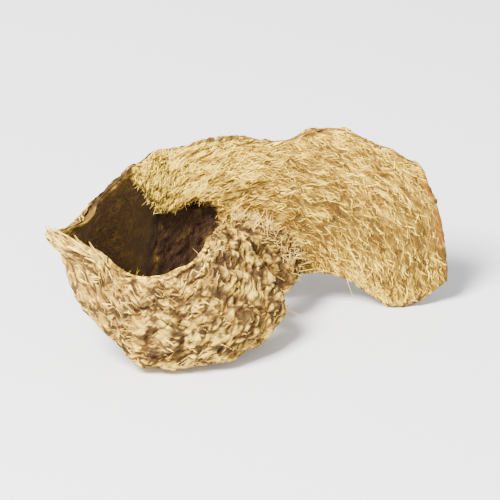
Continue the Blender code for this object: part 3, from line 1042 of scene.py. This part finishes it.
# %% Torn strings at the tip
count = 150
at_tip = (station_of > TORN_TIP - 0.005) & (station_of < TORN_TIP + 0.04) & (share_of > 0.80)
rows, columns = pick(at_tip, count)
ways = unit(np.array([-0.74, -0.12, 0.64]) + scatter(count, 0.12))
lengths = spread(count, 1.8, 5.0) * MM
roots = outer_skin[rows, columns] - ways * lengths[:, None] * 0.35
torn_strings = blade_swarm(
    "torn_strings", "torn", curved_paths(roots, ways, scatter(count, 0.10), lengths, 12),
    outer_normals[rows, columns][:, None], spread(count, 0.14, 0.34) * MM, 0.40, 8,
    spread(count, 0, 1),
)

# %% Fibres along the lip of the hollow
count = 120
is_lip = (flesh_hollow > 0.15) & (flesh_hollow < 0.9) & (along[:, None] < 0.44)
is_lip &= flesh_across > -0.3
rows, columns = pick(is_lip, count)
normals = flesh_normals[rows, columns]
ways = unit(np.array([-0.55, 0.0, -0.7]) + scatter(count, 0.6) + 0.1 * normals)
roots = flesh_points[rows, columns] - ways * 0.4 * MM
lengths = spread(count, 0.6, 1.3) * MM
lip_fibres = blade_swarm(
    "lip_fibres", "fibre", curved_paths(roots, ways, scatter(count, 0.4), lengths, 10),
    normals[:, None], spread(count, 0.04, 0.10) * MM, 0.7, 6, spread(count, 0, 1),
)

# %% Fibres where the tip of the curl meets the flap
count = 420
at_join = (station_of > 0.93) & (station_of < 0.985) & (share_of > 0.03)
rows, columns = pick(at_join, count)
normals = outer_normals[rows, columns]
ways = unit(0.7 * forward[rows] + scatter(count, 0.6) - 0.1 * normals)
roots = outer_skin[rows, columns] - ways * 0.4 * MM
lengths = spread(count, 0.7, 2.4) * MM
join_fibres = blade_swarm(
    "join_fibres", "fibre", curved_paths(roots, ways, scatter(count, 0.4), lengths, 10),
    normals[:, None], spread(count, 0.035, 0.09) * MM, 0.7, 6, spread(count, 0, 1),
)

# %% [markdown]
# The cut face gets several thousand strings of its own, each a flat blade that creeps along the
# grain. They are what the eye reads as ginger: pale strings with darker flesh between them, that
# darkness being partly painted shade.

# %% Strings on the cut face
STRING_KINDS = (  # how many, then the least and the most length and half width
    (700, (1.6, 3.4), (0.10, 0.18)),
    (2600, (0.8, 2.2), (0.06, 0.12)),
    (2600, (0.8, 2.2), (0.06, 0.12)),
)


def round_the_grain(spin, curl):
    """Steers round the place where the curl began, turned by spin and bent on by curl."""

    def steer(points, normals, run):
        reach = points - GRAIN_CENTRE
        way = np.stack([reach[:, 2], 0 * reach[:, 0], -reach[:, 0]], axis=-1)
        way = unit(way - normals * (way * normals).sum(axis=1)[:, None])
        return unit(way + np.cross(normals, way) * (spin + curl * run)[:, None])

    return steer


is_face = (flesh_hollow < 0.35) & (np.abs(flesh_across) < 0.95) & (np.sin(flesh_turn) < 0)
is_face &= (along[:, None] < 0.45) & (travelled[:, None] > 1.0 * MM)
face_strings = []
for number, (count, long, wide) in enumerate(STRING_KINDS, start=1):
    rows, columns = pick(is_face, count)
    steer = round_the_grain(rng.normal(0.06, 0.36, count), rng.normal(0, 1.2, count))
    paths, ups = traced_paths(
        flesh_points, flesh_normals, rows, columns, steer, spread(count, *long) * MM, 7
    )
    shades = np.clip(flesh_shade[rows, columns] - 0.05 + rng.normal(0, 0.32, count), 0, 1)
    face_strings.append(
        blade_swarm(
            f"face_strings_{number}", "string", paths, ups,
            spread(count, *wide) * MM, 0.26, 5, shades,
        )
    )

# %% [markdown]
# Threads of bark run slantwise over the wrinkles, some leaning one way and some the other.

# %% Threads of bark
BARK_THREADS = 1700


def along_the_strip(tilt, curl):
    """Steers along the strip, turned by tilt and bent on by curl."""

    def steer(points, normals, run):
        way = forward[thread_rows]
        way = unit(way - normals * (way * normals).sum(axis=1)[:, None])
        return unit(way + np.cross(normals, way) * (tilt + curl * run)[:, None])

    return steer


thread_rows, columns = pick((share_of > 0.03) & (share_of < 0.97) & (station_of > 0.01), BARK_THREADS)
tilt = rng.choice([-0.8, 0.75], BARK_THREADS) + rng.normal(0, 0.25, BARK_THREADS)
steer = along_the_strip(tilt, rng.normal(0, 0.6, BARK_THREADS))
lengths = spread(BARK_THREADS, 0.8, 2.6) * MM
paths, ups = traced_paths(outer_skin, outer_normals, thread_rows, columns, steer, lengths, 8)
shades = np.clip(bark_shade[thread_rows, columns] - 0.2 + rng.normal(0, 0.3, BARK_THREADS), 0, 1)
bark_threads = blade_swarm(
    "bark_threads", "thread", paths, ups, spread(BARK_THREADS, 0.06, 0.17) * MM, 0.6, 6, shades
)

# %% [markdown]
# Rootlets are round and thin. They stand on the bark near the two edges.

# %% Rootlets
count = 50
near_thin_rim = (station_of > 0.3) & (station_of < 0.6)
rows, columns = pick((share_of < 0.25) | ((share_of > 0.9) & ~near_thin_rim), count)
normals = outer_normals[rows, columns]
ways = unit(normals * 0.5 + scatter(count, 0.6))
roots = outer_skin[rows, columns] - ways * 0.3 * MM
lengths = spread(count, 0.8, 2.6) * MM
rootlets = blade_swarm(
    "rootlets", "rootlet", curved_paths(roots, ways, scatter(count, 0.5), lengths, 12),
    normals[:, None], spread(count, 0.04, 0.07) * MM, 1.0, 6, spread(count, 0, 1),
)

# %% [markdown]
# ## Handing the pieces over
#
# Nothing in a slice of root moves, so every piece rides on the one body. Together they stand
# for the plain solid, which is hidden.

# %% Riding on the frame
loose_pieces = (torn_strings, lip_fibres, join_fibres, *face_strings, bark_threads, rootlets)
for piece in (flesh, bark, *loose_pieces):
    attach(piece, "root")
    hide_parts("ginger_slice")
